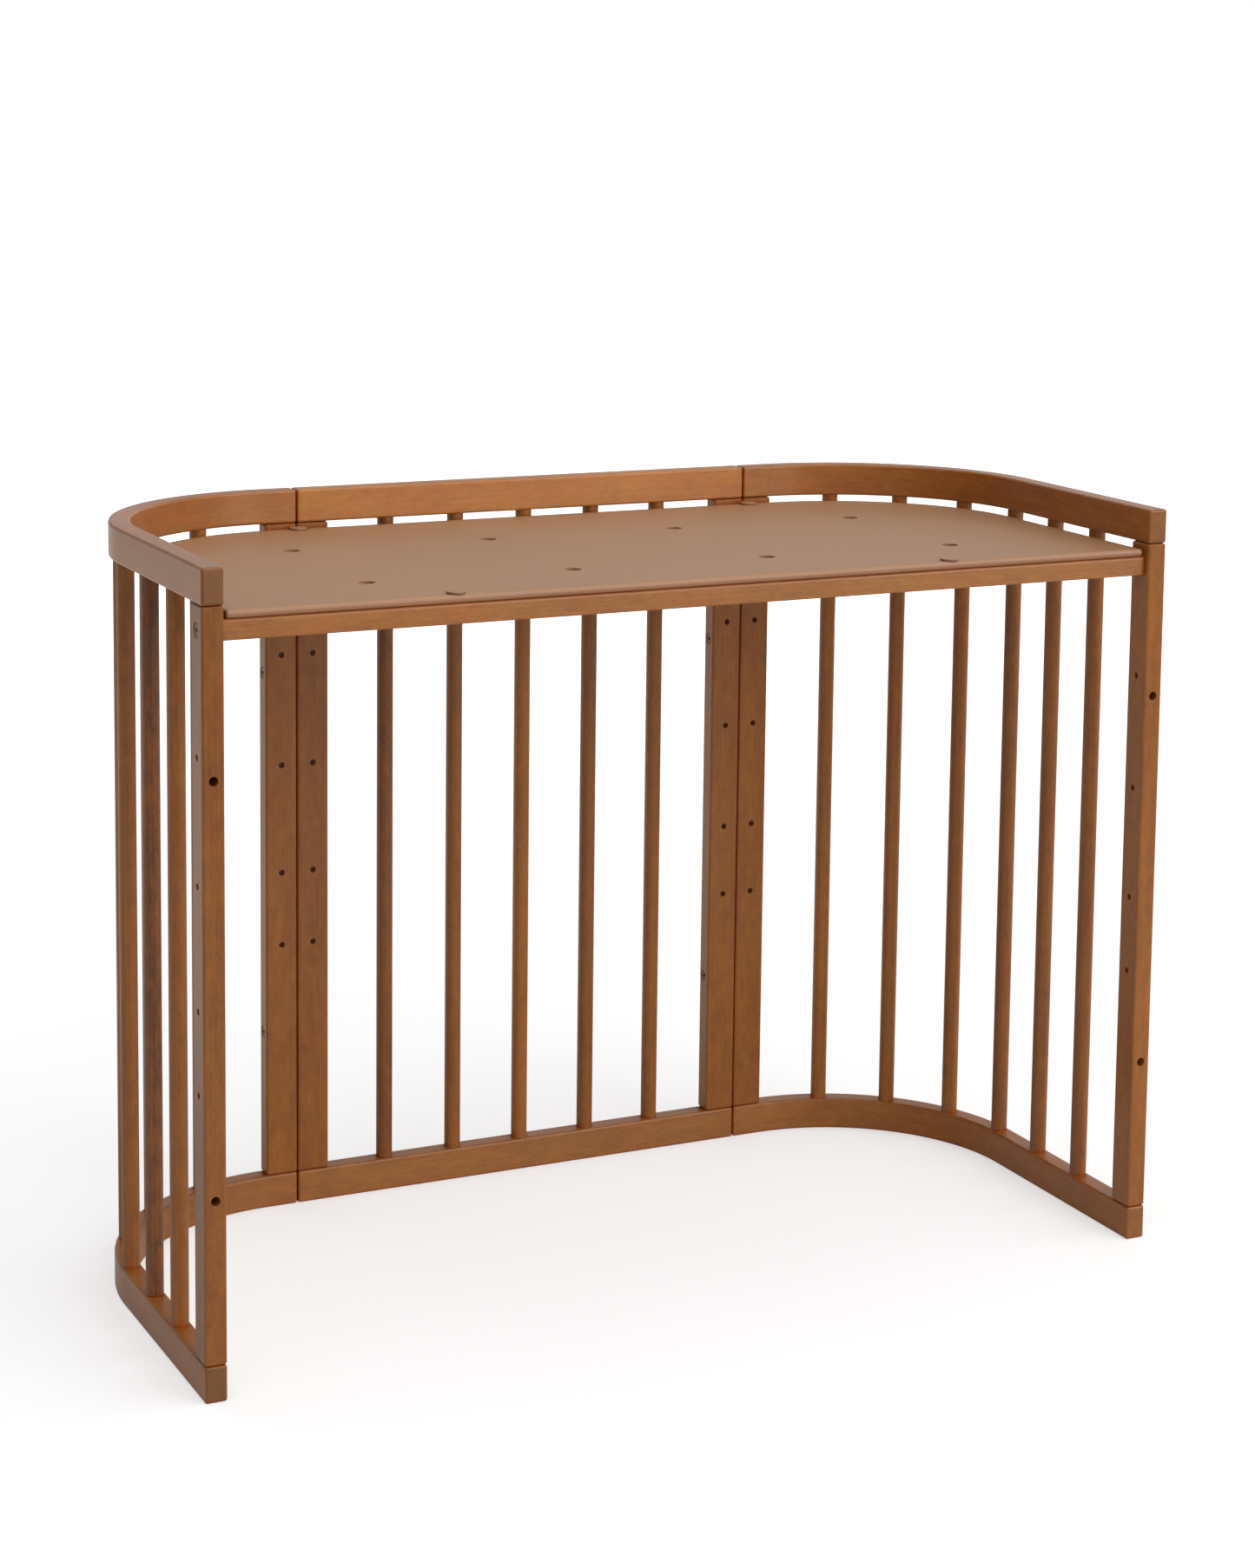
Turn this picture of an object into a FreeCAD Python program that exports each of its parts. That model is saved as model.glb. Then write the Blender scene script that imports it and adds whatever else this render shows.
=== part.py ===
import FreeCAD, Part
import math
import os

# Open-front playpen frame of stained wood: two side panels whose rear corners
# are bent round, a straight back panel bolted between them, and a base board
# (deck) that hangs on six bolts at table height.
# Millimetres.  X = width, Y = depth (open front at -Y), Z up, floor at Z = 0.
# Origin: middle of the footprint, on the floor.

V = FreeCAD.Vector
Z_AXIS, X_AXIS, Y_AXIS = V(0, 0, 1), V(1, 0, 0), V(0, 1, 0)

# ---- overall -------------------------------------------------------------
WIDTH = 1064.0
DEPTH = 490.0
HEIGHT = 800.0

# ---- rails ---------------------------------------------------------------
STOCK = 22.0            # thickness of every rail, post and stile
RAIL_H = 36.0
CORNER_R = 225.0        # outside radius of the bent rear corners
SEAM_X = 272.0          # where back panel and side panels meet
SEAM_GAP = 1.0
RAIL_ROUND = 2.6        # edge rounding of the rails

# ---- uprights ------------------------------------------------------------
POST_DEEP = 32.0        # front posts, front to back
STILE_WIDE = 36.0
UPRIGHT_ROUND = 3.0
UPRIGHT_END_CHAMFER = 1.5
JOINT_GAP = 0.6         # shadow line between an upright's shoulder and its rail
TENON_LONG, TENON_THICK, TENON_SHOULDER = 12.0, 10.0, 6.0
MORTISE_SLACK = 0.2

# ---- bars ----------------------------------------------------------------
BAR_D = 18.0
BAR_SINK = 12.0         # how far a bar goes into each rail
BAR_END_CHAMFER = 1.0
BORE_SLACK = 0.2
BACK_BAR_PITCH = 82.8
BACK_BARS = 5
SIDE_BAR_FIRST = 114.6  # along the rail's middle line, from the seam
SIDE_BAR_PITCH = 81.7
SIDE_BARS = 6

# ---- holes and fasteners in the uprights ----------------------------------
DECK_LEVEL = 740.0                          # the six deck bolts
SPARE_LEVELS = (620.0, 498.0, 378.0, 297.0)
LEVEL_HOLE_D = 6.6
LINK_LEVELS = (600.0, 198.0)                # link holes in the posts, seam bolts
LINK_HOLE_D, LINK_HOLE_DEEP = 9.2, 24.0
BOLT_D = 6.0
BOLT_REACH = 14.0       # how far a deck bolt stands out of the inner face
DECK_HEAD_D, DECK_HEAD_H = 14.0, 2.6
SEAM_HEAD_D, SEAM_HEAD_H = 12.0, 2.0
HEAD_SLACK = 0.5
HEX_KEY, HEX_DEEP = 4.0, 1.8
HEAD_ROUND, TIP_CHAMFER = 0.8, 0.7
SLEEVE_D, SLEEVE_LONG = 8.8, 22.0

# ---- deck ----------------------------------------------------------------
DECK_TOP = 758.0
BOARD_T = 8.0
BOARD_SIDE_GAP = 2.5
BOARD_BACK_GAP = 1.0
BOARD_ROUND = 3.7
BOARD_CORNER_R = 4.0
BOARD_LIP = 1.5         # the board's front edge stands out this far over the apron
BATTEN_T, BATTEN_H = 18.0, 20.5
APRON_SET_BACK = 7.0    # apron face behind the posts' front faces
APRON_END_GAP = 0.5
BATTEN_ROUND, APRON_NOSE = 1.5, 3.2    # APRON_NOSE: the apron's upper front edge
REAR_BATTEN_HALF = 304.0
BEARER_X, BEARER_WIDE, BEARER_H = 274.0, 34.0, 18.0
BEARER_TENON, BEARER_TENON_W, BEARER_TENON_H = 5.0, 22.0, 8.0
VENT_D = 17.0
VENT_X = (-330.0, -110.0, 110.0, 330.0)
VENT_Y = (-139.0, 76.0)
CAP_D, CAP_H = 18.5, 2.4                        # button cap over each deck screw
CAP_CROWN, CAP_FOOT = 0.9, 0.5                  # rounding of its top and bottom edges
SCREW_HEAD_D, SCREW_HEAD_H = 10.0, 3.0
SCREW_D, SCREW_LONG = 4.5, 22.0
CROSS_LONG, CROSS_WIDE, CROSS_DEEP = 4.4, 1.0, 1.4    # driver cross in a screw head
SLOT_W, SLOT_SLACK = 6.8, 0.4

# ---- derived ---------------------------------------------------------------
FRONT_Y, BACK_Y = -DEPTH / 2, DEPTH / 2
HALF_W = WIDTH / 2
ARC_X, ARC_Y = HALF_W - CORNER_R, BACK_Y - CORNER_R
MID_R = CORNER_R - STOCK / 2
BACK_MID_Y = BACK_Y - STOCK / 2
POST_MID_X = HALF_W - STOCK / 2
POST_MID_Y = FRONT_Y + POST_DEEP / 2
STILE_MID_IN = SEAM_X - STILE_WIDE / 2
STILE_MID_OUT = SEAM_X + STILE_WIDE / 2
RAIL_BOTTOMS = (0.0, HEIGHT - RAIL_H)
UPRIGHT_FROM, UPRIGHT_TO = RAIL_H + JOINT_GAP, HEIGHT - RAIL_H - JOINT_GAP
BOARD_BOTTOM = DECK_TOP - BOARD_T
APRON_FRONT = FRONT_Y + APRON_SET_BACK
BOARD_FRONT = APRON_FRONT - BOARD_LIP
APRON_MID_Y = APRON_FRONT + BATTEN_T / 2
BOARD_BACK = BACK_Y - STOCK - BOARD_BACK_GAP
REAR_MID_Y = BOARD_BACK - BATTEN_T / 2

solids = {}


def cyl(d, length, at, axis=Z_AXIS):
    return Part.makeCylinder(d / 2, length, at, axis)


def box(x0, x1, y0, y1, z0, z1):
    return Part.makeBox(x1 - x0, y1 - y0, z1 - z0, V(x0, y0, z0))


def hex_prism(key, length, at, axis):
    """Hexagon across flats `key`, from `at` along `axis`."""
    r = key / math.sqrt(3)
    pts = [V(r * math.cos(math.radians(60 * i)), r * math.sin(math.radians(60 * i)), 0)
           for i in range(7)]
    prism = Part.Face(Part.makePolygon(pts)).extrude(V(0, 0, length))
    prism.Placement = FreeCAD.Placement(at, FreeCAD.Rotation(Z_AXIS, axis))
    return prism


def mirror_x(shape):
    return shape.mirror(V(0, 0, 0), X_AXIS)


def side_point(s):
    """Point on the side panel's middle line, s mm from the seam."""
    straight = ARC_X - SEAM_X
    arc = MID_R * math.pi / 2
    if s < straight:
        return SEAM_X + s, BACK_MID_Y
    if s < straight + arc:
        a = math.pi / 2 - (s - straight) / MID_R
        return ARC_X + MID_R * math.cos(a), ARC_Y + MID_R * math.sin(a)
    return POST_MID_X, ARC_Y - (s - straight - arc)


def bent_strip(z):
    """Plan of a side rail: a strip STOCK wide from the seam round to the front."""
    ri = CORNER_R - STOCK
    xs = SEAM_X + SEAM_GAP / 2
    xi, yi = HALF_W - STOCK, BACK_Y - STOCK
    k = math.sqrt(0.5)

    def pt(x, y):
        return V(x, y, z)

    edges = [
        Part.makeLine(pt(xs, BACK_Y), pt(ARC_X, BACK_Y)),
        Part.Arc(pt(ARC_X, BACK_Y), pt(ARC_X + CORNER_R * k, ARC_Y + CORNER_R * k),
                 pt(HALF_W, ARC_Y)).toShape(),
        Part.makeLine(pt(HALF_W, ARC_Y), pt(HALF_W, FRONT_Y)),
        Part.makeLine(pt(HALF_W, FRONT_Y), pt(xi, FRONT_Y)),
        Part.makeLine(pt(xi, FRONT_Y), pt(xi, ARC_Y)),
        Part.Arc(pt(xi, ARC_Y), pt(ARC_X + ri * k, ARC_Y + ri * k),
                 pt(ARC_X, yi)).toShape(),
        Part.makeLine(pt(ARC_X, yi), pt(xs, yi)),
        Part.makeLine(pt(xs, yi), pt(xs, BACK_Y)),
    ]
    return Part.Face(Part.Wire(edges))


def rounded(shape, r):
    return shape.makeFillet(r, shape.Edges)


def upright(x0, x1, y0, y1):
    """A post or stile between the rails, with a stub tenon at both ends."""
    body = box(x0, x1, y0, y1, UPRIGHT_FROM, UPRIGHT_TO)
    tall = [e for e in body.Edges if e.Length > (UPRIGHT_TO - UPRIGHT_FROM) * 0.9]
    body = body.makeFillet(UPRIGHT_ROUND, tall)
    ends = [e for e in body.Edges
            if abs(e.BoundBox.ZMax - e.BoundBox.ZMin) < 0.01]
    body = body.makeChamfer(UPRIGHT_END_CHAMFER, ends)
    return body.fuse(tenon(x0, x1, y0, y1, 0.0)).removeSplitter()


def tenon(x0, x1, y0, y1, slack):
    """The bar through an upright that makes its two tenons (or, with slack, the mortises)."""
    mx, my = (x0 + x1) / 2, (y0 + y1) / 2
    if x1 - x0 > y1 - y0:
        hx, hy = (x1 - x0) / 2 - TENON_SHOULDER, TENON_THICK / 2
    else:
        hx, hy = TENON_THICK / 2, (y1 - y0) / 2 - TENON_SHOULDER
    hx, hy = hx + slack / 2, hy + slack / 2
    reach = TENON_LONG + (0.5 if slack else 0.0)
    return box(mx - hx, mx + hx, my - hy, my + hy,
               UPRIGHT_FROM - reach, UPRIGHT_TO + reach)


def bar(x, y):
    length = UPRIGHT_TO - UPRIGHT_FROM + 2 * BAR_SINK
    rod = cyl(BAR_D, length, V(x, y, UPRIGHT_FROM - BAR_SINK))
    rims = [e for e in rod.Edges if e.BoundBox.ZLength < 0.01]
    return rod.makeChamfer(BAR_END_CHAMFER, rims)


def bar_bore(x, y):
    """Blind bores for one bar, in the rail below and the rail above."""
    sink = BAR_SINK + 0.5
    return cyl(BAR_D + BORE_SLACK, UPRIGHT_TO - UPRIGHT_FROM + 2 * sink,
               V(x, y, UPRIGHT_FROM - sink))


def cut_all(shape, tools):
    return shape.cut(Part.makeCompound(tools))


def bolt(at, out, length, head_d, head_h):
    """Flat-headed bolt; `at` is the seat of the head, `out` points to the head."""
    head = cyl(head_d, head_h, at, out)
    outer = [e for e in head.Edges if isinstance(e.Curve, Part.Circle)
             and e.Vertexes[0].Point.sub(at).dot(out) > head_h * 0.5]
    head = head.makeFillet(HEAD_ROUND, outer)
    back = V(out).multiply(-1)
    shank = cyl(BOLT_D, length, at, back)
    tips = [e for e in shank.Edges if isinstance(e.Curve, Part.Circle)
            and e.Vertexes[0].Point.sub(at).dot(back) > length * 0.5]
    shank = shank.makeChamfer(TIP_CHAMFER, tips)
    socket = hex_prism(HEX_KEY, HEX_DEEP, at.add(V(out).multiply(head_h - HEX_DEEP)), out)
    return head.fuse(shank).removeSplitter().cut(socket)


# ---- side panels (built on the right, mirrored for the left) ----------------
POST_BOX = (HALF_W - STOCK, HALF_W, FRONT_Y, FRONT_Y + POST_DEEP)
SIDE_STILE_BOX = (SEAM_X + SEAM_GAP / 2, SEAM_X + STILE_WIDE, BACK_Y - STOCK, BACK_Y)
side_bars = [side_point(SIDE_BAR_FIRST + SIDE_BAR_PITCH * i) for i in range(SIDE_BARS)]

sockets = [bar_bore(x, y) for x, y in side_bars]
sockets += [tenon(*b, MORTISE_SLACK) for b in (POST_BOX, SIDE_STILE_BOX)]
side_rails = []
for z in RAIL_BOTTOMS:
    rail = rounded(bent_strip(z).extrude(V(0, 0, RAIL_H)), RAIL_ROUND)
    side_rails.append(cut_all(rail, sockets))

cuts = []
for z in SPARE_LEVELS + (DECK_LEVEL,):
    cuts.append(cyl(LEVEL_HOLE_D, STOCK + 2, V(HALF_W - STOCK - 1, POST_MID_Y, z), X_AXIS))
seat = DECK_HEAD_H + HEAD_SLACK
cuts.append(cyl(DECK_HEAD_D + HEAD_SLACK, seat + 1, V(HALF_W - seat, POST_MID_Y, DECK_LEVEL), X_AXIS))
for z in LINK_LEVELS:
    cuts.append(cyl(LINK_HOLE_D, LINK_HOLE_DEEP + 1, V(POST_MID_X, FRONT_Y - 1, z), Y_AXIS))
front_post = cut_all(upright(*POST_BOX), cuts)


def stile_cuts(mid_x, sleeve_side):
    """Holes of one rear stile: deck levels, deck bolt seat, and seam bolts across it."""
    out = []
    for z in SPARE_LEVELS + (DECK_LEVEL,):
        out.append(cyl(LEVEL_HOLE_D, STOCK + 2, V(mid_x, BACK_Y - STOCK - 1, z), Y_AXIS))
    out.append(cyl(DECK_HEAD_D + HEAD_SLACK, seat + 1, V(mid_x, BACK_Y - seat, DECK_LEVEL), Y_AXIS))
    d = SLEEVE_D + 0.4 if sleeve_side else LEVEL_HOLE_D
    head = SEAM_HEAD_H + HEAD_SLACK
    side = 1 if mid_x > SEAM_X else -1
    face = mid_x + side * STILE_WIDE / 2
    for z in LINK_LEVELS:
        out.append(cyl(d, STILE_WIDE + 2, V(mid_x - STILE_WIDE / 2 - 1, BACK_MID_Y, z), X_AXIS))
        out.append(cyl(SEAM_HEAD_D + HEAD_SLACK, head + 1,
                       V(face - side * head, BACK_MID_Y, z), V(side, 0, 0)))
    return out


side_stile = cut_all(upright(*SIDE_STILE_BOX), stile_cuts(STILE_MID_OUT, False))

for side, flip in (("right", lambda s: s), ("left", mirror_x)):
    solids[side + "_bottom_rail"] = flip(side_rails[0])
    solids[side + "_top_rail"] = flip(side_rails[1])
    solids[side + "_front_post"] = flip(front_post)
    solids[side + "_rear_stile"] = flip(side_stile)
    for i, (x, y) in enumerate(side_bars):
        solids["%s_bar_%d" % (side, i + 1)] = flip(bar(x, y))

# ---- back panel ---------------------------------------------------------------
BACK_STILE_BOX = (SEAM_X - STILE_WIDE, SEAM_X - SEAM_GAP / 2, BACK_Y - STOCK, BACK_Y)
back_stile = cut_all(upright(*BACK_STILE_BOX), stile_cuts(STILE_MID_IN, True))
solids["back_stile_right"] = back_stile
solids["back_stile_left"] = mirror_x(back_stile)

back_bars = [BACK_BAR_PITCH * (i - (BACK_BARS - 1) / 2) for i in range(BACK_BARS)]
sockets = [bar_bore(x, BACK_MID_Y) for x in back_bars]
right_mortise = tenon(*BACK_STILE_BOX, MORTISE_SLACK)
sockets += [right_mortise, mirror_x(right_mortise)]
half = SEAM_X - SEAM_GAP / 2
for name, z in (("back_bottom_rail", RAIL_BOTTOMS[0]), ("back_top_rail", RAIL_BOTTOMS[1])):
    rail = rounded(box(-half, half, BACK_Y - STOCK, BACK_Y, z, z + RAIL_H), RAIL_ROUND)
    solids[name] = cut_all(rail, sockets)
for i, x in enumerate(back_bars):
    solids["back_bar_%d" % (i + 1)] = bar(x, BACK_MID_Y)

# ---- seam bolts and sleeve nuts -------------------------------------------------
bolt_seat = SEAM_X + STILE_WIDE - SEAM_HEAD_H - HEAD_SLACK
nut_seat = SEAM_X - STILE_WIDE + SEAM_HEAD_H + HEAD_SLACK
for k, z in enumerate(LINK_LEVELS):
    level = ("upper", "lower")[k]
    screw = bolt(V(bolt_seat, BACK_MID_Y, z), V(1, 0, 0),
                 bolt_seat - nut_seat - 2.0, SEAM_HEAD_D, SEAM_HEAD_H)
    flange = cyl(SEAM_HEAD_D, SEAM_HEAD_H, V(nut_seat - SEAM_HEAD_H, BACK_MID_Y, z), X_AXIS)
    rim = [e for e in flange.Edges if isinstance(e.Curve, Part.Circle)
           and e.Vertexes[0].Point.x < nut_seat - SEAM_HEAD_H * 0.5]
    flange = flange.makeFillet(HEAD_ROUND, rim)
    sleeve = cyl(SLEEVE_D, SLEEVE_LONG, V(nut_seat, BACK_MID_Y, z), X_AXIS)
    nut = flange.fuse(sleeve).removeSplitter()
    nut = nut.cut(cyl(BOLT_D + 0.1, SLEEVE_LONG, V(nut_seat + 1.0, BACK_MID_Y, z), X_AXIS))
    nut = nut.cut(hex_prism(HEX_KEY, HEX_DEEP,
                            V(nut_seat - SEAM_HEAD_H + HEX_DEEP, BACK_MID_Y, z), V(-1, 0, 0)))
    for side, flip in (("right", lambda s: s), ("left", mirror_x)):
        solids["seam_bolt_%s_%s" % (side, level)] = flip(screw)
        solids["seam_nut_%s_%s" % (side, level)] = flip(nut)

# ---- deck bolts -------------------------------------------------------------------
post_seat = V(HALF_W - DECK_HEAD_H - HEAD_SLACK, POST_MID_Y, DECK_LEVEL)
post_bolt = bolt(post_seat, V(1, 0, 0), STOCK - DECK_HEAD_H - HEAD_SLACK + BOLT_REACH,
                 DECK_HEAD_D, DECK_HEAD_H)
solids["deck_bolt_post_right"] = post_bolt
solids["deck_bolt_post_left"] = mirror_x(post_bolt)
for name, mid_x in (("inner", STILE_MID_IN), ("outer", STILE_MID_OUT)):
    rear = bolt(V(mid_x, BACK_Y - DECK_HEAD_H - HEAD_SLACK, DECK_LEVEL), V(0, 1, 0),
                STOCK - DECK_HEAD_H - HEAD_SLACK + BOLT_REACH, DECK_HEAD_D, DECK_HEAD_H)
    solids["deck_bolt_back_right_" + name] = rear
    solids["deck_bolt_back_left_" + name] = mirror_x(rear)

# ---- deck -------------------------------------------------------------------------
bx = HALF_W - STOCK - BOARD_SIDE_GAP
br = CORNER_R - STOCK - 1.0
k = math.sqrt(0.5)
cx, cy = bx - br, BOARD_BACK - br
zb = BOARD_BOTTOM
plan = Part.Wire([
    Part.makeLine(V(-bx, BOARD_FRONT, zb), V(bx, BOARD_FRONT, zb)),
    Part.makeLine(V(bx, BOARD_FRONT, zb), V(bx, cy, zb)),
    Part.Arc(V(bx, cy, zb), V(cx + br * k, cy + br * k, zb), V(cx, BOARD_BACK, zb)).toShape(),
    Part.makeLine(V(cx, BOARD_BACK, zb), V(-cx, BOARD_BACK, zb)),
    Part.Arc(V(-cx, BOARD_BACK, zb), V(-cx - br * k, cy + br * k, zb), V(-bx, cy, zb)).toShape(),
    Part.makeLine(V(-bx, cy, zb), V(-bx, BOARD_FRONT, zb)),
])
board = Part.Face(plan).extrude(V(0, 0, BOARD_T))
front_corners = [e for e in board.Edges if e.BoundBox.ZLength > BOARD_T * 0.9
                 and e.BoundBox.YMax < BOARD_FRONT + 1]
board = board.makeFillet(BOARD_CORNER_R, front_corners)
board = board.makeFillet(BOARD_ROUND, [e for e in board.Edges if e.BoundBox.ZLength < 0.01])
SCREW_SPOTS = [(sx * BEARER_X, y) for sx in (-1, 1) for y in (APRON_MID_Y, REAR_MID_Y)]
cuts = [cyl(VENT_D, BOARD_T + 2, V(x, y, zb - 1)) for x in VENT_X for y in VENT_Y]
for x, y in SCREW_SPOTS:
    cuts.append(Part.makeCone(SCREW_D / 2 + 0.1, SCREW_HEAD_D / 2 + 0.2, SCREW_HEAD_H,
                              V(x, y, DECK_TOP - SCREW_HEAD_H)))
    cuts.append(cyl(SCREW_D + 0.2, BOARD_T + 2, V(x, y, zb - 1)))
solids["deck_board"] = cut_all(board, cuts)

batten_bottom = BOARD_BOTTOM - BATTEN_H
slot_top = DECK_LEVEL + SLOT_SLACK


def drop_slot(at, out):
    """Slot open at the bottom that lets a batten drop on to a bolt; `at` is its mouth."""
    deep = BOLT_REACH + 1.5
    back = V(out).multiply(-1)
    top = cyl(SLOT_W, deep + 1, V(at.x, at.y, slot_top).add(out), back)
    ext = top.BoundBox
    if abs(out.x) > 0.5:
        leg = box(ext.XMin, ext.XMax, at.y - SLOT_W / 2, at.y + SLOT_W / 2,
                  batten_bottom - 1, slot_top)
    else:
        leg = box(at.x - SLOT_W / 2, at.x + SLOT_W / 2, ext.YMin, ext.YMax,
                  batten_bottom - 1, slot_top)
    return top.fuse(leg)


def bearer_socket(x, slack):
    """Bearer with its two stub tenons (or, with slack, the mortises for them)."""
    hw, hh = (BEARER_TENON_W + slack) / 2, (BEARER_TENON_H + slack) / 2
    z_mid = BOARD_BOTTOM - BEARER_H / 2
    t = BEARER_TENON + (0.4 if slack else 0.0)
    y0 = APRON_MID_Y + BATTEN_T / 2
    y1 = REAR_MID_Y - BATTEN_T / 2
    return box(x - hw, x + hw, y0 - t, y1 + t, z_mid - hh, z_mid + hh), y0, y1


pilots = [cyl(SCREW_D, SCREW_LONG - BOARD_T + 5, V(x, y, BOARD_BOTTOM - (SCREW_LONG - BOARD_T + 3)))
          for x, y in SCREW_SPOTS]
mortises = [bearer_socket(sx * BEARER_X, 0.2)[0] for sx in (-1, 1)]

ax = HALF_W - STOCK - APRON_END_GAP
apron = box(-ax, ax, APRON_FRONT, APRON_FRONT + BATTEN_T, batten_bottom, BOARD_BOTTOM)
nose = [e for e in apron.Edges if e.BoundBox.YMax < APRON_FRONT + 0.01
        and e.BoundBox.ZMin > BOARD_BOTTOM - 0.01]
apron = apron.makeFillet(APRON_NOSE, nose)
lower = [e for e in apron.Edges if e.BoundBox.XLength > 2 * ax - 1
         and e.BoundBox.ZMax < BOARD_BOTTOM - BATTEN_H / 2]
apron = apron.makeFillet(BATTEN_ROUND, lower)
cuts = [drop_slot(V(sx * ax, APRON_MID_Y, 0), V(sx, 0, 0)) for sx in (-1, 1)]
solids["deck_front_batten"] = cut_all(apron, cuts + pilots + mortises)

rear = box(-REAR_BATTEN_HALF, REAR_BATTEN_HALF, BOARD_BACK - BATTEN_T, BOARD_BACK,
           batten_bottom, BOARD_BOTTOM)
rear = rounded(rear, BATTEN_ROUND)
cuts = [drop_slot(V(sx * x, BOARD_BACK, 0), V(0, 1, 0))
        for sx in (-1, 1) for x in (STILE_MID_IN, STILE_MID_OUT)]
solids["deck_rear_batten"] = cut_all(rear, cuts + pilots + mortises)

for side, sx in (("right", 1), ("left", -1)):
    tongue, y0, y1 = bearer_socket(sx * BEARER_X, 0.0)
    slab = box(sx * BEARER_X - BEARER_WIDE / 2, sx * BEARER_X + BEARER_WIDE / 2, y0, y1,
               BOARD_BOTTOM - BEARER_H, BOARD_BOTTOM)
    long_edges = [e for e in slab.Edges if e.BoundBox.YLength > 100]
    slab = slab.makeFillet(BATTEN_ROUND, long_edges)
    solids["deck_bearer_" + side] = slab.fuse(tongue).removeSplitter()


def button_cap(x, y):
    """Low flat button that stands on the board over a screw."""
    cap = cyl(CAP_D, CAP_H, V(x, y, DECK_TOP))
    for r, level in ((CAP_FOOT, DECK_TOP), (CAP_CROWN, DECK_TOP + CAP_H)):
        rim = [e for e in cap.Edges if isinstance(e.Curve, Part.Circle)
               and abs(e.BoundBox.ZMin - level) < 0.01 and e.BoundBox.ZLength < 0.01]
        cap = cap.makeFillet(r, rim)
    return cap


for i, (x, y) in enumerate(SCREW_SPOTS):
    solids["deck_cap_%d" % (i + 1)] = button_cap(x, y)
    top = DECK_TOP
    head = Part.makeCone(SCREW_D / 2, SCREW_HEAD_D / 2, SCREW_HEAD_H, V(x, y, top - SCREW_HEAD_H))
    shank = cyl(SCREW_D - 0.1, SCREW_LONG - SCREW_HEAD_H, V(x, y, top - SCREW_LONG))
    screw = head.fuse(shank).removeSplitter()
    long, wide = CROSS_LONG / 2, CROSS_WIDE / 2
    cross = box(x - long, x + long, y - wide, y + wide, top - CROSS_DEEP, top + 1)
    cross = cross.fuse(box(x - wide, x + wide, y - long, y + long, top - CROSS_DEEP, top + 1))
    solids["deck_screw_%d" % (i + 1)] = screw.cut(cross)

# ---- write ------------------------------------------------------------------------
os.makedirs("parts", exist_ok=True)
for name, shape in solids.items():
    if shape.ShapeType == "Compound" and len(shape.Solids) == 1:
        shape = shape.Solids[0]
    if len(shape.Solids) != 1 or not shape.isValid():
        raise RuntimeError("bad solid: %s" % name)
    shape.exportStep("parts/%s.step" % name)
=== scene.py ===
"""Playpen: looks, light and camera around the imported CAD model. Metres, in the CAD's own frame."""
import math

import bpy
from mathutils import Matrix, Vector


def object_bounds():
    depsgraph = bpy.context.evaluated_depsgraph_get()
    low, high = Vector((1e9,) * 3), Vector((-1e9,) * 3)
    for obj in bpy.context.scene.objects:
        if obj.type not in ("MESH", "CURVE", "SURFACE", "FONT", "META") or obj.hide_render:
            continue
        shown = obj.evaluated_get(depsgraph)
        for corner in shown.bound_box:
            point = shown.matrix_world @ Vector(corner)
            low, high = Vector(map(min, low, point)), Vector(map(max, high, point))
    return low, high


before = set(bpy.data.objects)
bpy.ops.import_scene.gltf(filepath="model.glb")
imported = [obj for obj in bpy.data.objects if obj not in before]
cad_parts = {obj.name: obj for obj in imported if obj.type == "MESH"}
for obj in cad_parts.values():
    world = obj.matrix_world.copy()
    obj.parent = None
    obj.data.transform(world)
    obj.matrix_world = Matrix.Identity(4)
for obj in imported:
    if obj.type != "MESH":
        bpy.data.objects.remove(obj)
cad_low, cad_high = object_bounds()

# ---------------------------------------------------------------- named values

IMAGE_WIDTH, IMAGE_HEIGHT = 1445, 1806

CAMERA_AT = (-1.4207, -2.9847, 1.2641)
CAMERA_YAW, CAMERA_PITCH, CAMERA_ROLL = 25.707, 7.241, 0.667     # degrees
FOCAL_LENGTH = 3649.1 / IMAGE_HEIGHT * 36.0                      # mm on a 36 mm sensor
CAMERA_SHIFT = -0.2049

RAIL_OUTER_R, RAIL_STOCK = 0.225, 0.022                          # the bend of the curved rails

# Stained beech, from dark figure to light, and the two casts that drift through it.
WOOD_TONES = ((0.00, (0.100, 0.022, 0.0018)), (0.16, (0.200, 0.053, 0.0038)), (0.38, (0.283, 0.082, 0.0055)),
              (0.62, (0.372, 0.117, 0.0085)), (1.00, (0.505, 0.178, 0.0150)))
RED_CAST, OLIVE_CAST = (1.025, 0.97, 0.94), (0.975, 1.03, 1.06)
# End grain is darker; the left rails' ends are darker again, as painted shade.
END_GRAIN_TONE, LEFT_END_SHADE_TONE = (0.76, 0.74, 0.70), (0.50, 0.46, 0.42)
BOARD_TONES = ((0.0, (0.385, 0.190, 0.084)), (1.0, (0.430, 0.214, 0.095)))
# Painted shade: the board's side faces and hole walls are darker and redder than its top.
BOARD_SIDE_SHADE = (0.90, 0.76, 0.64)
# Painted shade under the caps' rims: their sides are dark brown.
CAP_SIDE_SHADE = (0.225, 0.108, 0.046)

# Painted shade in holes and joint lines, darker and redder there: how far walls reach, and its colour.
RECESS_REACH, RECESS_RANGE = 0.006, (0.30, 0.85)
RECESS_SHADE_TONES = ((0.0, (1.25, 0.58, 0.20)), (1.0, (1.0, 1.0, 1.0)))
# The board's own painted shade, in its vent holes and where walls stand near, reaching further.
BOARD_SHADE_REACH, BOARD_SHADE_TONES = 0.016, ((0.0, (0.20, 0.15, 0.11)), (1.0, (1.0, 1.0, 1.0)))

OFF_AXIS = (0.0011, 0.0007, 0.0013)      # keeps a cross product of two alike directions off zero

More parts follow.
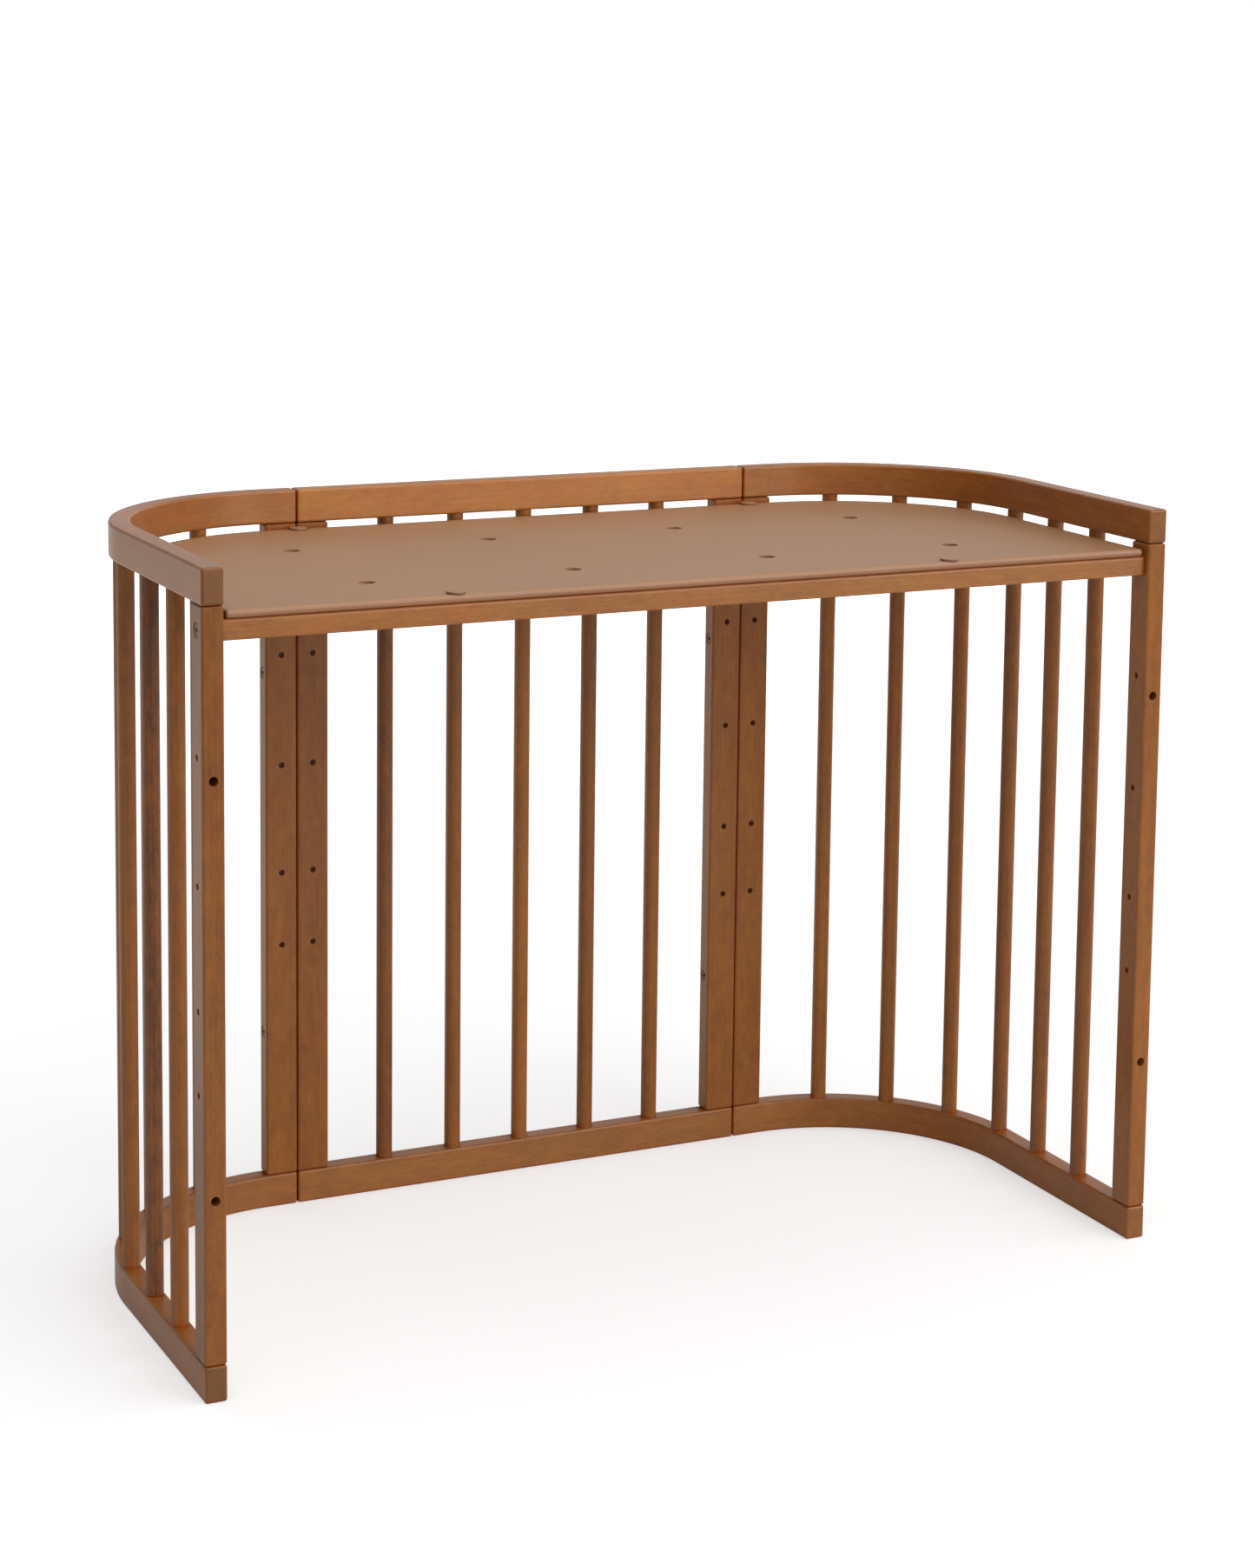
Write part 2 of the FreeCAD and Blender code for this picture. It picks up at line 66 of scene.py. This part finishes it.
MIDDLE, LIGHT_REACH = (0.0, 0.0, 0.45), 10.0
ROOM_BRIGHT_AZIMUTH, ROOM_LEVEL, ROOM_SWING = 60.0, 0.60, 0.46    # walls, brightest at the right front
CEILING_LEVEL = 0.20
FLOOR_TONE, FLOOR_LIFT, FLOOR_FADE = 0.62, 0.54, (0.8, 4.0)      # the lift grows to white far off
FLOOR_GLEAM, SWEEP_GLEAM = 0.11, 0.46           # what gloss sees of the floor near by, and behind
GLEAM_TINT = (1.0, 0.82, 0.66)
FRONT_TONE, FRONT_FADE = 0.30, (1.4, 3.2)       # the floor is darker towards the camera


# ---------------------------------------------------------------- node building

class Graph:
    """Short calls that add nodes to one node tree."""

    def __init__(self, tree):
        self.tree = tree
        tree.nodes.clear()

    def node(self, kind, inputs=(), **settings):
        made = self.tree.nodes.new(kind)
        for name, value in settings.items():
            setattr(made, name, value)
        for key, value in dict(inputs).items():
            if isinstance(value, bpy.types.NodeSocket):
                self.tree.links.new(value, made.inputs[key])
            else:
                made.inputs[key].default_value = value
        return made

    def math(self, operation, *values):
        return self.node("ShaderNodeMath", enumerate(values), operation=operation).outputs[0]

    def vector(self, operation, *values):
        made = self.node("ShaderNodeVectorMath", enumerate(values), operation=operation)
        return made.outputs["Value" if operation in ("DOT_PRODUCT", "LENGTH") else "Vector"]

    def join(self, x, y, z):
        return self.node("ShaderNodeCombineXYZ", enumerate((x, y, z))).outputs[0]

    def split(self, value):
        return self.node("ShaderNodeSeparateXYZ", {0: value}).outputs

    def noise(self, at, scale, detail=2.0, roughness=0.5):
        """Noise from 0 to 1 at a point, with cells scale per metre along each axis."""
        sized = self.vector("MULTIPLY", at, scale) if hasattr(scale, "__len__") else at
        each = 1.0 if hasattr(scale, "__len__") else scale
        made = self.node("ShaderNodeTexNoise", {"Vector": sized, "Scale": each, "Detail": detail,
                                                "Roughness": roughness})
        return made.outputs["Fac"]

    def spread(self, value, low, high, to_low=0.0, to_high=1.0):
        """value from low..high to to_low..to_high, held at the ends, with a soft step."""
        made = self.node("ShaderNodeMapRange", {"Value": value, "From Min": low, "From Max": high,
                                                "To Min": to_low, "To Max": to_high},
                         interpolation_type="SMOOTHSTEP")
        return made.outputs["Result"]

    def ramp(self, value, stops):
        made = self.node("ShaderNodeValToRGB", {0: value})
        band = made.color_ramp.elements
        while len(band) < len(stops):
            band.new(0.5)
        for element, (place, colour) in zip(band, stops):
            element.position = place
            element.color = (*colour, 1.0)
        return made.outputs["Color"]

    def mix(self, factor, a, b, blend_type="MIX"):
        made = self.node("ShaderNodeMix", {0: factor, 6: a, 7: b}, data_type="RGBA",
                         blend_type=blend_type)
        return made.outputs[2]

    def mix_value(self, factor, a, b):
        return self.node("ShaderNodeMix", {0: factor, 2: a, 3: b}, data_type="FLOAT").outputs[0]

    def open_air(self, reach):
        """1 on an open face, 0 deep in a hole or a joint line, whose walls stand within reach."""
        made = self.node("ShaderNodeAmbientOcclusion", {"Distance": reach}, samples=4)
        return self.spread(made.outputs["AO"], *RECESS_RANGE)

    def bump(self, height, distance, strength=1.0, after=None):
        inputs = {"Height": height, "Distance": distance, "Strength": strength}
        if after:
            inputs["Normal"] = after
        return self.node("ShaderNodeBump", inputs).outputs[0]


def new_material(name):
    material = bpy.data.materials.new(name)
    material.use_nodes = True
    return material, Graph(material.node_tree)


def surface(graph, colour, roughness, normal, **sockets):
    """Ends a material in one Principled shader. Plain numbers go straight on its sockets."""
    inputs = {"Base Color": colour, "Roughness": roughness, "Normal": normal, **sockets}
    shader = graph.node("ShaderNodeBsdfPrincipled", inputs)
    graph.node("ShaderNodeOutputMaterial", {"Surface": shader.outputs[0]})


# ---------------------------------------------------------------- stained beech

def along_z(graph, x, y, z):
    return (z, x, y), (0.0, 0.0, 1.0)


def along_x(graph, x, y, z):
    return (x, z, y), (1.0, 0.0, 0.0)


def along_y(graph, x, y, z):
    return (y, x, z), (0.0, 1.0, 0.0)


def along_curve(graph, x, y, z):
    """Grain that follows a curved rail: along the back, round the bend, then down the side."""
    centre_x = cad_high.x - RAIL_OUTER_R
    centre_y = cad_high.y - RAIL_OUTER_R
    middle_r = RAIL_OUTER_R - RAIL_STOCK / 2
    side = graph.math("ABSOLUTE", x)
    dx = graph.math("MAXIMUM", graph.math("SUBTRACT", side, centre_x), 0.0)
    dy = graph.math("MAXIMUM", graph.math("SUBTRACT", y, centre_y), 0.0)
    turn = graph.math("MULTIPLY", graph.math("ARCTAN2", dx, dy), middle_r)
    back = graph.math("MINIMUM", side, centre_x)
    down = graph.math("MAXIMUM", graph.math("SUBTRACT", centre_y, y), 0.0)
    length = graph.math("ADD", graph.math("ADD", back, turn), down)
    across = graph.math("POWER", graph.math("ADD", graph.math("MULTIPLY", dx, dx),
                                            graph.math("MULTIPLY", dy, dy)), 0.5)
    outward = graph.join(graph.math("MULTIPLY", dx, graph.math("SIGN", x)), dy, 0.0)
    return (length, across, z), graph.vector("CROSS_PRODUCT", outward, (0.0, 0.0, 1.0))


def stained_beech(name, grain):
    material, g = new_material(name)
    place = g.node("ShaderNodeTexCoord").outputs["Object"]
    (length, across, deep), fibre = grain(g, *g.split(place))
    facing = g.node("ShaderNodeNewGeometry").outputs["Normal"]
    about = g.node("ShaderNodeObjectInfo").outputs
    chance = about["Random"]
    u = g.math("MULTIPLY_ADD", chance, 31.7, length)
    v = g.math("MULTIPLY_ADD", chance, 3.1, across)
    w = g.math("MULTIPLY_ADD", chance, -5.3, deep)
    p = g.join(u, v, w)

    # Growth layers: slices of wide rings whose middle lies well outside the stock.
    wander = g.noise(p, (1.6, 22.0, 22.0), 2.0)
    ring_v = g.math("MULTIPLY_ADD", chance, 0.05, g.math("ADD", across, -0.6))
    ring_w = g.math("ADD", deep, 0.05)
    reach = g.math("POWER", g.math("ADD", g.math("MULTIPLY", ring_v, ring_v),
                                   g.math("MULTIPLY", ring_w, ring_w)), 0.5)
    layers = g.math("SINE", g.math("MULTIPLY_ADD", wander, 26.0,
                                   g.math("MULTIPLY", reach, 1500.0)))

    streaks = g.noise(p, (4.0, 60.0, 60.0), 3.0, 0.55)
    fibres = g.noise(p, (22.0, 800.0, 800.0), 3.0, 0.6)
    blotch = g.noise(p, (9.0, 28.0, 28.0), 3.0, 0.55)
    clouds = g.noise(p, (48.0, 110.0, 110.0), 2.0, 0.5)
    flecks = g.noise(p, (120.0, 300.0, 300.0), 2.0, 0.5)
    pores = g.spread(g.noise(p, (190.0, 2300.0, 2300.0), 1.0), 0.60, 0.72)

    # Object colour: the piece's tone, partly stain and partly painted shade, and whether its ends get
    # painted shade.
    tone, shaded_ends = g.split(about["Color"])[:2]
    for figure, strength in ((streaks, 0.34), (blotch, 0.34), (clouds, 0.42), (flecks, 0.28),
                             (fibres, 0.24), (chance, 0.10)):
        tone = g.math("MULTIPLY_ADD", g.math("SUBTRACT", figure, 0.5), strength, tone)
    tone = g.math("MULTIPLY_ADD", layers, 0.03, tone)
    colour = g.ramp(tone, WOOD_TONES)
    cast = g.spread(g.noise(p, (14.0, 60.0, 60.0), 2.0), 0.35, 0.65)
    cast = g.mix(cast, (*RED_CAST, 1.0), (*OLIVE_CAST, 1.0))
    colour = g.mix(1.0, colour, cast, "MULTIPLY")
    colour = g.mix(g.math("MULTIPLY", pores, 0.55), colour, (0.52, 0.42, 0.36, 1.0), "MULTIPLY")
    # End grain darker; flagged ends darker again as painted shade.
    along = g.math("ABSOLUTE", g.vector("DOT_PRODUCT", facing, g.vector("NORMALIZE", fibre)))
    ends = g.mix(shaded_ends, (*END_GRAIN_TONE, 1.0), (*LEFT_END_SHADE_TONE, 1.0))
    colour = g.mix(g.spread(along, 0.55, 0.9), colour, ends, "MULTIPLY")
    # Painted shade: deep in holes and joint lines the colour turns darker and redder, and the gloss is taken
    # off.
    open_air = g.open_air(RECESS_REACH)
    colour = g.mix(1.0, colour, g.ramp(open_air, RECESS_SHADE_TONES), "MULTIPLY")

    roughness = g.math("MULTIPLY_ADD", g.math("ADD", clouds, pores), 0.10, 0.42)
    roughness = g.mix_value(open_air, 0.85, roughness)
    relief = g.math("SUBTRACT", g.math("MULTIPLY_ADD", streaks, 0.6, fibres), pores)
    normal = g.bump(relief, 0.00012, 0.55)

    # Satin gleam of the fibres, spread across them and held narrow along them.
    sideways = g.vector("ADD", g.vector("CROSS_PRODUCT", facing, fibre), OFF_AXIS)
    surface(g, colour, roughness, normal, Tangent=sideways,
            **{"IOR": 1.5, "Anisotropic": 0.8, "Specular Tint": (1.0, 0.70, 0.44, 1.0),
               "Specular IOR Level": 0.95, "Coat Weight": g.math("MULTIPLY", open_air, 0.6),
               "Coat Roughness": 0.26, "Coat IOR": 1.5})
    return material


def painted_board(name):
    """Base board: satin paint over a fine fibre board, with a faint roller texture; painted shade darkens
    its sides, its holes and its joints.
    """
    material, g = new_material(name)
    place = g.node("ShaderNodeTexCoord").outputs["Object"]
    drift = g.noise(place, 5.0, 3.0)
    speck = g.noise(place, 420.0, 2.0, 0.6)
    peel = g.noise(place, 900.0, 2.0, 0.5)
    tone = g.math("MULTIPLY_ADD", speck, 0.45, g.math("MULTIPLY", drift, 0.55))
    colour = g.ramp(g.spread(tone, 0.3, 0.7), BOARD_TONES)
    roughness = g.math("MULTIPLY_ADD", drift, 0.12, 0.38)
    upward = g.split(g.node("ShaderNodeNewGeometry").outputs["Normal"])[2]
    # Painted shade on faces that turn away from straight up.
    edge = g.mix(g.spread(upward, 0.20, 0.95), (*BOARD_SIDE_SHADE, 1.0), (1.0, 1.0, 1.0, 1.0))
    colour = g.mix(1.0, colour, edge, "MULTIPLY")
    # Painted shade: the board darkens in its vent holes and where walls stand near it.
    colour = g.mix(1.0, colour, g.ramp(g.open_air(BOARD_SHADE_REACH), BOARD_SHADE_TONES), "MULTIPLY")
    surface(g, colour, roughness, g.bump(peel, 0.00008, 0.35), IOR=1.72)
    return material


def cap_plastic(name):
    """Polished moulding in the board's colour; painted shade darkens its side."""
    material, g = new_material(name)
    place = g.node("ShaderNodeTexCoord").outputs["Object"]
    grit = g.noise(place, 1500.0, 2.0)
    top = g.ramp(g.noise(place, 260.0, 2.0), BOARD_TONES)
    upward = g.split(g.node("ShaderNodeNewGeometry").outputs["Normal"])[2]
    colour = g.mix(g.spread(upward, 0.25, 0.90), (*CAP_SIDE_SHADE, 1.0), top)
    roughness = g.math("MULTIPLY_ADD", grit, 0.14, 0.36)
    surface(g, colour, roughness, g.bump(grit, 0.00003, 0.3), IOR=1.60)
    return material


def bronzed_steel(name):
    """Dark bronze plating, rubbed a little brighter in patches."""
    material, g = new_material(name)
    place = g.node("ShaderNodeTexCoord").outputs["Object"]
    bloom = g.noise(place, 700.0, 3.0, 0.6)
    colour = g.ramp(bloom, ((0.3, (0.120, 0.055, 0.024)), (0.7, (0.270, 0.140, 0.068))))
    roughness = g.math("MULTIPLY_ADD", bloom, 0.22, 0.24)
    surface(g, colour, roughness, g.bump(bloom, 0.00003, 0.5), Metallic=1.0)
    return material


# Each length of timber took the stain in its own way, and the tones also hold painted shade and light, such
# as the darker left post and stiles and the lighter back top rail: less than USUAL_TONE is darker.
USUAL_TONE = 0.5
PIECE_TONE_AND_SHADE = {"left_front_post": 0.31, "right_front_post": 0.49, "left_top_rail": 0.52,
               "left_bottom_rail": 0.52, "right_bottom_rail": 0.56, "back_top_rail": 0.68,
               "left_bar_3": 0.36, "left_bar_4": 0.32, "left_bar_5": 0.06, "left_bar_6": 0.30,
               "right_bar_3": 0.39, "right_bar_4": 0.22, "right_bar_5": 0.26, "right_bar_6": 0.31,
               "back_bar_1": 0.19, "back_bar_2": 0.35, "back_bar_3": 0.52, "back_bar_4": 0.33,
               "back_bar_5": 0.35, "left_rear_stile": 0.43, "back_stile_left": 0.34,
               "back_stile_right": 0.40, "right_rear_stile": 0.38}
# These rails' end faces get painted shade.
SHADED_LEFT_ENDS = ("left_top_rail", "left_bottom_rail")
GRAINS = {"upright": along_z, "straight": along_x, "bearer": along_y, "curved": along_curve}
wood = {kind: stained_beech("stained_beech_" + kind, grain) for kind, grain in GRAINS.items()}
board_paint = painted_board("board_paint")
cap_finish = cap_plastic("cap_plastic")
steel = bronzed_steel("bronzed_steel")


def finish_for(name):
    """The material of a CAD node, by what it is."""
    if name.startswith("deck_cap"):
        return cap_finish
    if name == "deck_board":
        return board_paint
    if any(word in name for word in ("bolt", "nut", "screw")):
        return steel
    if "bearer" in name:
        return wood["bearer"]
    if "batten" in name or name in ("back_top_rail", "back_bottom_rail"):
        return wood["straight"]
    if name.endswith("_rail"):
        return wood["curved"]
    return wood["upright"]


for name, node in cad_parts.items():
    node.data.materials.clear()
    node.data.materials.append(finish_for(name))
    # Object colour holds the piece tone (stain and painted shade) and the painted-shade flag for its ends.
    node.color = (PIECE_TONE_AND_SHADE.get(name, USUAL_TONE), float(name in SHADED_LEFT_ENDS), 0.0, 1.0)


# ---------------------------------------------------------------- floor, light, camera

def make_floor():
    """Pale floor that runs out to a white room. What it adds for the camera lights nothing."""
    side = 40.0
    bpy.ops.mesh.primitive_plane_add(size=side, location=(0, 0, -0.0003))
    floor = bpy.context.object
    floor.name = "floor"
    material, g = new_material("pale_floor")
    place = g.node("ShaderNodeTexCoord").outputs["Object"]
    ahead = g.math("MULTIPLY", g.split(place)[1], -1.0)
    tone = g.spread(ahead, *FRONT_FADE, FLOOR_TONE, FRONT_TONE)
    paint = g.node("ShaderNodeBsdfDiffuse", {"Color": g.join(tone, tone, tone)})
    far = g.spread(g.vector("LENGTH", place), *FLOOR_FADE, FLOOR_LIFT, 1.0)
    ray = g.node("ShaderNodeLightPath").outputs
    behind = g.math("MULTIPLY", g.spread(g.split(place)[1], 0.0, 1.2, 0.0, SWEEP_GLEAM),
                    g.spread(g.vector("LENGTH", place), 4.5, 7.5, 1.0, 0.0))
    near = g.spread(g.vector("LENGTH", place), 1.2, 3.6, FLOOR_GLEAM, 0.0)
    gleam = g.node("ShaderNodeEmission", {"Color": (*GLEAM_TINT, 1.0), "Strength": g.math(
        "MULTIPLY", ray["Is Glossy Ray"], g.math("MAXIMUM", behind, near))})
    lift = g.node("ShaderNodeEmission", {"Strength": g.math("MULTIPLY", ray["Is Camera Ray"], far)})
    both = g.node("ShaderNodeAddShader", {0: paint.outputs[0], 1: lift.outputs[0]})
    both = g.node("ShaderNodeAddShader", {0: both.outputs[0], 1: gleam.outputs[0]})
    g.node("ShaderNodeOutputMaterial", {"Surface": both.outputs[0]})
    floor.data.materials.append(material)


def soft_light(name, azimuth, elevation, size, brightness):
    """Softbox LIGHT_REACH from the middle of the object. Azimuth 0 is in front and 90 at the right."""
    across, up = math.radians(azimuth), math.radians(elevation)
    away = Vector((math.sin(across) * math.cos(up), -math.cos(across) * math.cos(up), math.sin(up)))
    lamp = bpy.data.lights.new(name, "AREA")
    lamp.shape, lamp.size, lamp.size_y = "RECTANGLE", *size
    lamp.energy = brightness * math.pi * size[0] * size[1]
    holder = bpy.data.objects.new(name, lamp)
    holder.location = Vector(MIDDLE) + LIGHT_REACH * away
    holder.rotation_euler = (-away).to_track_quat("-Z", "Y").to_euler()
    holder.visible_camera = False
    bpy.context.scene.collection.objects.link(holder)


def make_world():
    """White studio, seen white, whose walls light the object most from the right front."""
    world = bpy.data.worlds.new("studio")
    bpy.context.scene.world = world
    world.use_nodes = True
    g = Graph(world.node_tree)
    heading = g.split(g.node("ShaderNodeTexCoord").outputs["Generated"])
    bright = math.radians(ROOM_BRIGHT_AZIMUTH)
    across = g.math("MULTIPLY_ADD", heading[0], math.sin(bright),
                    g.math("MULTIPLY", heading[1], -math.cos(bright)))
    walls = g.math("MULTIPLY_ADD", across, ROOM_SWING, ROOM_LEVEL)
    upward = g.spread(heading[2], 0.40, 0.70)
    level = g.math("ADD", g.math("MULTIPLY", walls, g.math("SUBTRACT", 1.0, upward)),
                   g.math("MULTIPLY", upward, CEILING_LEVEL))
    room = g.node("ShaderNodeBackground", {"Strength": level})
    room.inputs["Color"].default_value = (1.0, 1.0, 1.0, 1.0)
    seen = g.node("ShaderNodeBackground", {"Strength": 1.0})
    seen.inputs["Color"].default_value = (1.0, 1.0, 1.0, 1.0)
    direct = g.node("ShaderNodeLightPath").outputs["Is Camera Ray"]
    both = g.node("ShaderNodeMixShader", {0: direct, 1: room.outputs[0], 2: seen.outputs[0]})
    g.node("ShaderNodeOutputWorld", {"Surface": both.outputs[0]})


def make_camera():
    yaw, pitch, roll = (math.radians(a) for a in (CAMERA_YAW, CAMERA_PITCH, CAMERA_ROLL))
    ahead = Vector((math.sin(yaw) * math.cos(pitch), math.cos(yaw) * math.cos(pitch),
                    -math.sin(pitch)))
    right = Vector((math.cos(yaw), -math.sin(yaw), 0.0))
    up = right.cross(ahead)
    right, up = (math.cos(roll) * right + math.sin(roll) * up,
                 -math.sin(roll) * right + math.cos(roll) * up)
    camera = bpy.data.objects.new("camera", bpy.data.cameras.new("camera"))
    camera.matrix_world = Matrix.Translation(CAMERA_AT) @ Matrix((right, up, -ahead)).transposed().to_4x4()
    camera.data.sensor_width, camera.data.lens = 36.0, FOCAL_LENGTH
    camera.data.shift_y = CAMERA_SHIFT
    bpy.context.scene.collection.objects.link(camera)
    bpy.context.scene.camera = camera


make_floor()
make_world()
soft_light("key", 30.0, 15.0, (5.4, 5.4), 2.3)
soft_light("high_right", 45.0, 45.0, (10.0, 5.4), 1.35)
soft_light("high_left", -35.0, 45.0, (9.0, 5.4), 0.75)
soft_light("overhead", 0.0, 90.0, (11.0, 11.0), 1.05)
make_camera()
bpy.context.scene.view_settings.view_transform = "Standard"
